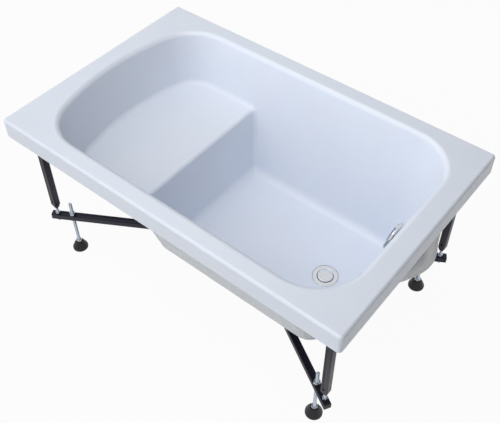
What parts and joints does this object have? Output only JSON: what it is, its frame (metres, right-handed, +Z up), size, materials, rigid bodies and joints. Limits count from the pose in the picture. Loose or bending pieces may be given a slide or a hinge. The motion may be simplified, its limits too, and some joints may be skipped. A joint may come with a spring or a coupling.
{
  "type": "bathtub",
  "caption": "Compact white acrylic bathtub with a moulded seat, on a crossed black steel frame with screw feet, rotary overflow knob and lifting drain plug.",
  "frame": {"origin": "on the floor, under the middle of the rim", "axes": "+X along the tub from the seat end to the drain end, +Y to the far long side, +Z up"},
  "size_m": [1.1, 0.7, 0.545],
  "materials": {
    "acrylic_white": "gloss",
    "glass_fibre": "matte, rough",
    "particle_board": "raw",
    "black_powder_coat": "satin",
    "zinc_plated_steel": "satin",
    "black_plastic": "matte",
    "chrome": "polished",
    "black_rubber": "matte",
    "white_plastic": "satin"
  },
  "bodies": {
    "frame_and_tub": {"tub_shell": "acrylic_white", "glass_fibre_backing": "glass_fibre", "base_board": "particle_board", "rim_block_front_left": "particle_board", "rim_block_front_right": "particle_board", "rim_block_rear_left": "particle_board", "rim_block_rear_right": "particle_board", "long_bar": "black_powder_coat", "half_bar_front": "black_powder_coat", "half_bar_rear": "black_powder_coat", "post_top_plates": "black_powder_coat", "corner_post_front_left": "black_powder_coat", "corner_post_front_right": "black_powder_coat", "corner_post_rear_left": "black_powder_coat", "corner_post_rear_right": "black_powder_coat", "post_top_screws": "zinc_plated_steel", "post_studs": "zinc_plated_steel", "post_stud_nuts": "zinc_plated_steel", "board_screws": "zinc_plated_steel", "bar_inserts": "zinc_plated_steel", "foot_lock_nuts": "zinc_plated_steel", "bar_cap_front_left": "black_plastic", "bar_cap_front_right": "black_plastic", "bar_cap_rear_left": "black_plastic", "bar_cap_rear_right": "black_plastic", "drain_flange": "chrome", "overflow_rosette": "chrome", "drain_upper_seal": "black_rubber", "drain_lower_seal": "black_rubber", "overflow_seal": "black_rubber", "drain_body": "white_plastic", "overflow_body": "white_plastic", "hose_nut_upper": "white_plastic", "hose_nut_lower": "white_plastic", "trap_body": "white_plastic", "trap_cup": "white_plastic", "trap_union_nut": "white_plastic", "outlet_nut": "white_plastic", "overflow_hose": "white_plastic"},
    "pad_front_left": {"foot_pad_front_left": "black_plastic"},
    "rod_front_left": {"foot_rod_front_left": "zinc_plated_steel", "foot_nut_front_left": "zinc_plated_steel"},
    "pad_front_right": {"foot_pad_front_right": "black_plastic"},
    "rod_front_right": {"foot_rod_front_right": "zinc_plated_steel", "foot_nut_front_right": "zinc_plated_steel"},
    "pad_rear_left": {"foot_pad_rear_left": "black_plastic"},
    "rod_rear_left": {"foot_rod_rear_left": "zinc_plated_steel", "foot_nut_rear_left": "zinc_plated_steel"},
    "pad_rear_right": {"foot_pad_rear_right": "black_plastic"},
    "rod_rear_right": {"foot_rod_rear_right": "zinc_plated_steel", "foot_nut_rear_right": "zinc_plated_steel"},
    "knob": {"overflow_knob": "chrome", "knob_spindle": "white_plastic"},
    "plug": {"drain_plug": "chrome", "plug_seal": "black_rubber", "plug_stem": "zinc_plated_steel", "lift_pin": "zinc_plated_steel"}
  },
  "joints": [
    {"name": "pad_front_left_height", "type": "slide", "parent": "frame_and_tub", "child": "pad_front_left", "axis": [0, 0, 1], "range_m": [-0.035, 0.02]},
    {"name": "rod_front_left_turn", "type": "hinge", "parent": "pad_front_left", "child": "rod_front_left", "pos_m": [-0.4573, -0.26776, 0.1], "axis": [0, 0, 1], "range_deg": [-8400, 4800]},
    {"name": "pad_front_right_height", "type": "slide", "parent": "frame_and_tub", "child": "pad_front_right", "axis": [0, 0, 1], "range_m": [-0.035, 0.02]},
    {"name": "rod_front_right_turn", "type": "hinge", "parent": "pad_front_right", "child": "rod_front_right", "pos_m": [0.4573, -0.26776, 0.1], "axis": [0, 0, 1], "range_deg": [-8400, 4800]},
    {"name": "pad_rear_left_height", "type": "slide", "parent": "frame_and_tub", "child": "pad_rear_left", "axis": [0, 0, 1], "range_m": [-0.035, 0.02]},
    {"name": "rod_rear_left_turn", "type": "hinge", "parent": "pad_rear_left", "child": "rod_rear_left", "pos_m": [-0.4573, 0.26776, 0.1], "axis": [0, 0, 1], "range_deg": [-8400, 4800]},
    {"name": "pad_rear_right_height", "type": "slide", "parent": "frame_and_tub", "child": "pad_rear_right", "axis": [0, 0, 1], "range_m": [-0.035, 0.02]},
    {"name": "rod_rear_right_turn", "type": "hinge", "parent": "pad_rear_right", "child": "rod_rear_right", "pos_m": [0.4573, 0.26776, 0.1], "axis": [0, 0, 1], "range_deg": [-8400, 4800]},
    {"name": "knob_turn", "type": "hinge", "parent": "frame_and_tub", "child": "knob", "pos_m": [0.47268, 0, 0.487], "axis": [-0.9668, 0, 0.2554], "range_deg": [0, 90]},
    {"name": "plug_lift", "type": "slide", "parent": "frame_and_tub", "child": "plug", "axis": [0, 0, 1], "range_m": [0, 0.01]}
  ],
  "couplings": [
    {"joint": "pad_front_left_height", "follows": "rod_front_left_turn", "m_per_rad": 0.0002387},
    {"joint": "pad_front_right_height", "follows": "rod_front_right_turn", "m_per_rad": 0.0002387},
    {"joint": "pad_rear_left_height", "follows": "rod_rear_left_turn", "m_per_rad": 0.0002387},
    {"joint": "pad_rear_right_height", "follows": "rod_rear_right_turn", "m_per_rad": 0.0002387},
    {"joint": "plug_lift", "follows": "knob_turn", "m_per_rad": 0.006366}
  ]
}
